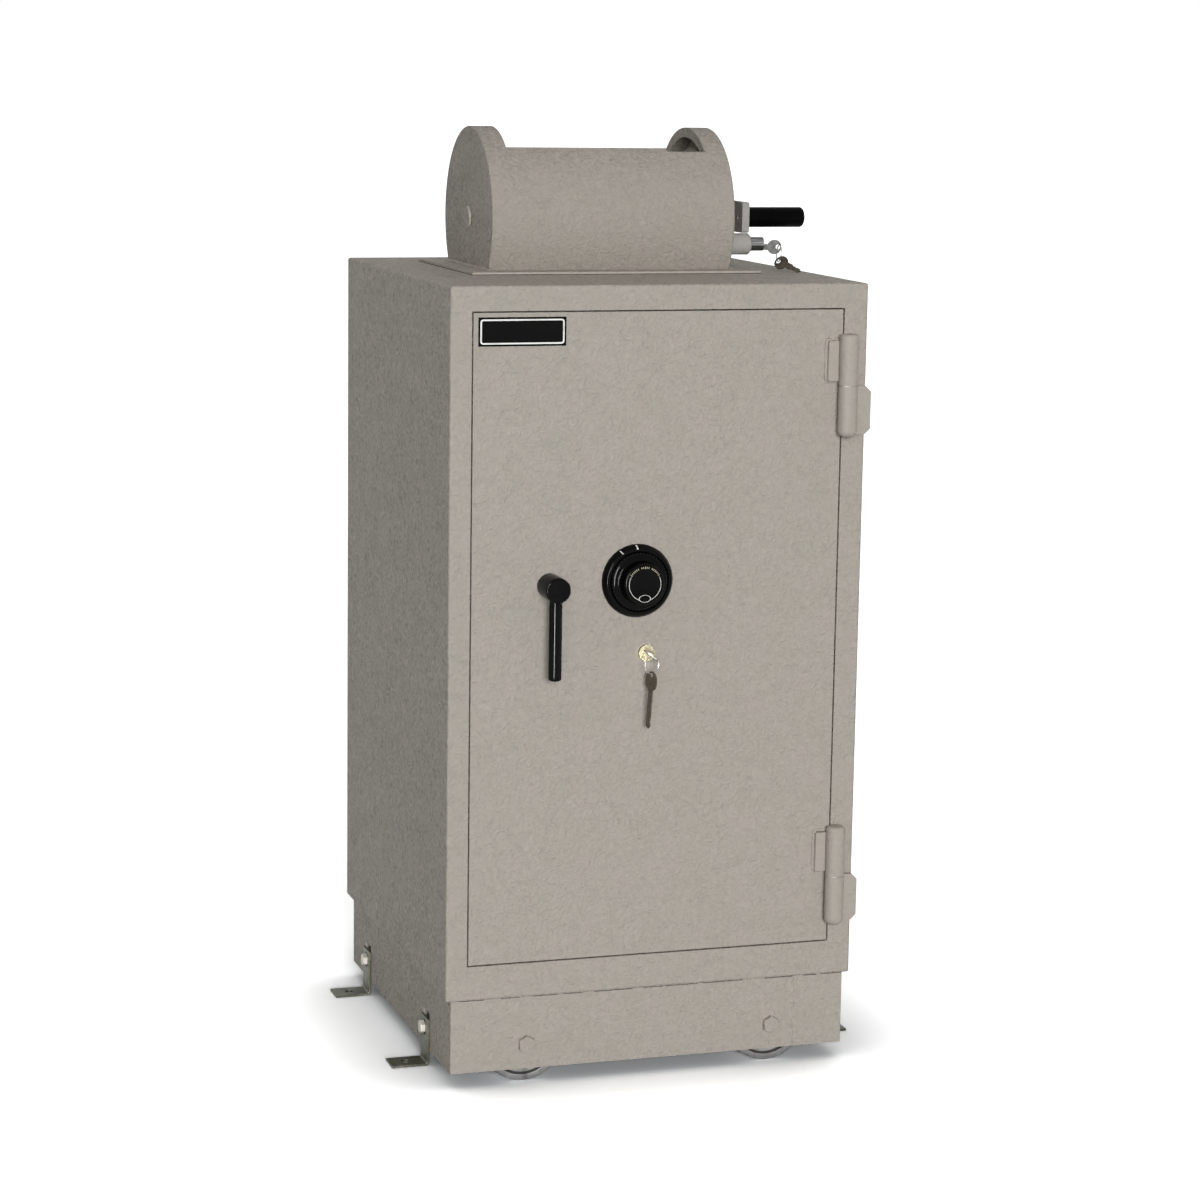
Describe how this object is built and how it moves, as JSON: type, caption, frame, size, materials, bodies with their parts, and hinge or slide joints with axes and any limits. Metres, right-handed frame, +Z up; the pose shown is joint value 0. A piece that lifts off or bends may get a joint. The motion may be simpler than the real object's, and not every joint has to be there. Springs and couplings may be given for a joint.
{
  "type": "rotary hopper safe",
  "caption": "Free-standing steel deposit safe on a wheeled, anchored plinth, with a cranked rotary drum hopper on its roof, a dial and key lock, and a lever that throws bolts.",
  "frame": {"origin": "on the floor, at the middle of the outline's bounding box", "axes": "+Z up, +X to the right as seen from the front, -Y towards the front, where the door is"},
  "size_m": [0.693, 0.646, 1.3195],
  "materials": {
    "painted_body": "hammered enamel, satin",
    "painted_inside": "satin enamel",
    "arm_steel": "worn satin paint",
    "concrete": "light concrete, sealed in",
    "bright_steel": "machined",
    "bracket_zinc": "dull yellow zinc",
    "bolt_zinc": "dull zinc",
    "wheel_steel": "turned, dull",
    "bush_bronze": "dull bronze",
    "lock_brass": "polished, worn",
    "black_enamel": "gloss black",
    "black_grip": "matt black",
    "plunger_black": "black, satin",
    "stud_steel": "black oxide",
    "key_steel": "nickel plated",
    "spare_key_steel": "dull, dark"
  },
  "bodies": {
    "cabinet": {"body_shell": "painted_body", "concrete_fill": "concrete", "inner_liner": "painted_inside", "door_jamb": "painted_inside", "drop_chute": "painted_inside", "plinth": "painted_body", "wheel_hangers": "painted_inside", "axle_bolts": "painted_body", "anchor_brackets": "bracket_zinc", "bracket_bolts": "bolt_zinc", "hopper_flange": "painted_body", "hopper_shell": "painted_body", "hopper_end_left": "painted_body", "hopper_end_right": "painted_body", "hopper_bushings": "painted_body", "baffle_bars": "painted_inside", "lock_boss": "painted_body", "hinge_frame_leaves": "painted_body", "hinge_pins": "bright_steel", "hinge_washers": "bright_steel"},
    "wheel_front_left": {"wheel_front_left": "wheel_steel"},
    "wheel_front_right": {"wheel_front_right": "wheel_steel"},
    "wheel_rear_left": {"wheel_rear_left": "wheel_steel"},
    "wheel_rear_right": {"wheel_rear_right": "wheel_steel"},
    "hopper_drum": {"drum_trough": "painted_inside", "drum_ends": "painted_inside", "drum_shafts": "bright_steel", "crank_arm": "arm_steel", "crank_grip": "black_grip", "grip_stud": "stud_steel"},
    "hopper_plunger": {"plunger": "plunger_black"},
    "hopper_key": {"plunger_plug": "bright_steel", "hopper_key": "key_steel"},
    "hopper_key_ring": {"hopper_key_ring": "key_steel", "hopper_spare_key": "spare_key_steel"},
    "door": {"door_plate": "painted_body", "door_rim": "painted_inside", "door_cover": "painted_inside", "cover_screws": "bright_steel", "dial_ring": "black_enamel", "combination_case": "bright_steel", "key_lock_body": "lock_brass", "bolt_guides": "bright_steel", "dead_bolts": "bright_steel", "hinge_door_leaves": "painted_body", "nameplate": "black_enamel"},
    "handle": {"handle_hub": "black_enamel", "handle_lever": "black_enamel", "handle_cam": "bright_steel"},
    "bolt_work": {"bolt_bar": "bright_steel", "locking_bolts": "bright_steel"},
    "dial": {"dial_knob": "black_enamel", "dial_spindle": "bright_steel", "wheel_pack": "bush_bronze"},
    "door_key": {"key_plug": "lock_brass", "door_key": "key_steel"},
    "door_key_ring": {"door_key_ring": "key_steel", "door_spare_key": "spare_key_steel"}
  },
  "joints": [
    {"name": "wheel_front_left_spin", "type": "hinge", "parent": "cabinet", "child": "wheel_front_left", "pos_m": [-0.182, -0.238, 0.058], "axis": [0, 1, 0], "continuous": true},
    {"name": "wheel_front_right_spin", "type": "hinge", "parent": "cabinet", "child": "wheel_front_right", "pos_m": [0.182, -0.238, 0.058], "axis": [0, 1, 0], "continuous": true},
    {"name": "wheel_rear_left_spin", "type": "hinge", "parent": "cabinet", "child": "wheel_rear_left", "pos_m": [-0.182, 0.278, 0.058], "axis": [0, 1, 0], "continuous": true},
    {"name": "wheel_rear_right_spin", "type": "hinge", "parent": "cabinet", "child": "wheel_rear_right", "pos_m": [0.182, 0.278, 0.058], "axis": [0, 1, 0], "continuous": true},
    {"name": "hopper_turn", "type": "hinge", "parent": "cabinet", "child": "hopper_drum", "pos_m": [0, 0.073, 1.1895], "axis": [-1, 0, 0], "range_deg": [0, 180]},
    {"name": "plunger_push", "type": "slide", "parent": "cabinet", "child": "hopper_plunger", "axis": [-1, 0, 0], "range_m": [0, 0.012]},
    {"name": "hopper_key_turn", "type": "hinge", "parent": "hopper_plunger", "child": "hopper_key", "pos_m": [0.234, -0.027, 1.15085], "axis": [-1, 0, 0], "range_deg": [0, 90]},
    {"name": "hopper_ring_hang", "type": "hinge", "parent": "hopper_key", "child": "hopper_key_ring", "pos_m": [0.259, -0.027, 1.15085], "axis": [-1, 0, 0], "range_deg": [-90, 0]},
    {"name": "door_swing", "type": "hinge", "parent": "cabinet", "child": "door", "pos_m": [0.2675, -0.291, 0.6255], "axis": [0, 0, 1], "range_deg": [0, 120]},
    {"name": "handle_turn", "type": "hinge", "parent": "door", "child": "handle", "pos_m": [-0.158, -0.309, 0.707], "axis": [0, 1, 0], "range_deg": [0, 90]},
    {"name": "bolt_throw", "type": "slide", "parent": "door", "child": "bolt_work", "axis": [-1, 0, 0], "range_m": [0, 0.025]},
    {"name": "dial_turn", "type": "hinge", "parent": "door", "child": "dial", "pos_m": [-0.032, -0.297, 0.71], "axis": [0, 1, 0], "continuous": true},
    {"name": "door_key_turn", "type": "hinge", "parent": "door", "child": "door_key", "pos_m": [-0.017, -0.287, 0.608], "axis": [0, 1, 0], "range_deg": [0, 90]},
    {"name": "door_ring_hang", "type": "hinge", "parent": "door_key", "child": "door_key_ring", "pos_m": [-0.017, -0.3043, 0.608], "axis": [0, 1, 0], "range_deg": [-90, 0]}
  ],
  "couplings": [
    {"joint": "bolt_throw", "follows": "handle_turn", "m_per_rad": 0.015915},
    {"joint": "hopper_ring_hang", "follows": "hopper_key_turn", "ratio": -1},
    {"joint": "door_ring_hang", "follows": "door_key_turn", "ratio": -1}
  ]
}
